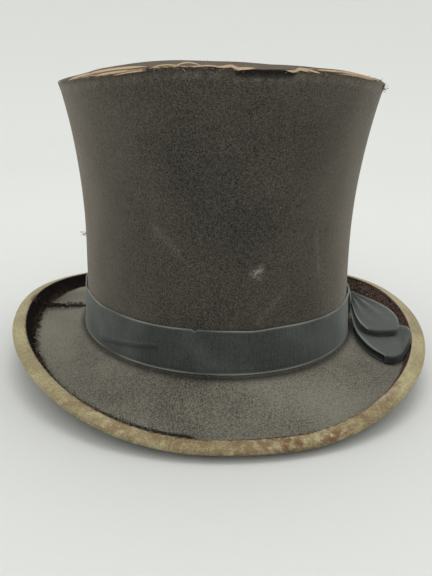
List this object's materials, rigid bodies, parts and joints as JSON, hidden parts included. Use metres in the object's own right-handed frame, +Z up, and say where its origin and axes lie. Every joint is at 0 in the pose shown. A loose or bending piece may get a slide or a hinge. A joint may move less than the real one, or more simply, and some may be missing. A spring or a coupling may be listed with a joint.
{
  "type": "top hat",
  "caption": "Tall stiff hat with a waisted oval crown, a brim curled up at the sides, a ribbon band with a side bow, and a leather sweatband and lining inside.",
  "frame": {"origin": "centre of the hat's plan, at the height of the brim's lowest underside (front and back)", "axes": "+Z up the crown, -Y to the front of the hat, +X to the wearer's left, where the bow is"},
  "size_m": [0.2546, 0.297, 0.1764],
  "materials": {
    "stiffened_muslin": "shellac-stiffened cotton muslin, straw coloured, hidden but for the worn tip edge",
    "edge_tape": "cloth-covered tape, frayed and worn through to straw-coloured muslin",
    "crown_cloth": "matte faded brown-black close-woven cloth, dusty, lightly dented",
    "brim_cloth": "matte faded brown-black cloth, a little paler where it faces up",
    "under_cloth": "matte brown-black cloth",
    "curl_facing": "perished dark brown cloth with frayed threads",
    "binding_ribbon": "faded olive-tan ribbed ribbon with rusty patches and a pale rubbed edge",
    "band_ribbon": "satin-soft blue-black ribbed ribbon with pale selvedge lines",
    "sweatband_leather": "smooth tan leather darkened by wear",
    "inner_ribbon": "narrow dark ribbon",
    "lining": "yellowed cream silk, softly creased",
    "ticket": "aged blank paper"
  },
  "bodies": {
    "root": {"side_shell": "stiffened_muslin", "tip_shell": "stiffened_muslin", "brim_board": "stiffened_muslin", "tip_edge_tape": "edge_tape", "side_cover": "crown_cloth", "tip_cover": "crown_cloth", "brim_top_cloth": "brim_cloth", "brim_under_cloth": "under_cloth", "curl_facing": "curl_facing", "brim_binding": "binding_ribbon", "hat_band": "band_ribbon", "bow_lower_loop": "band_ribbon", "bow_upper_loop": "band_ribbon", "bow_knot": "band_ribbon", "sweatband": "sweatband_leather", "sweatband_reed": "sweatband_leather", "sweatband_bow": "inner_ribbon", "side_lining": "lining", "tip_lining": "lining", "size_ticket": "ticket"}
  },
  "joints": []
}
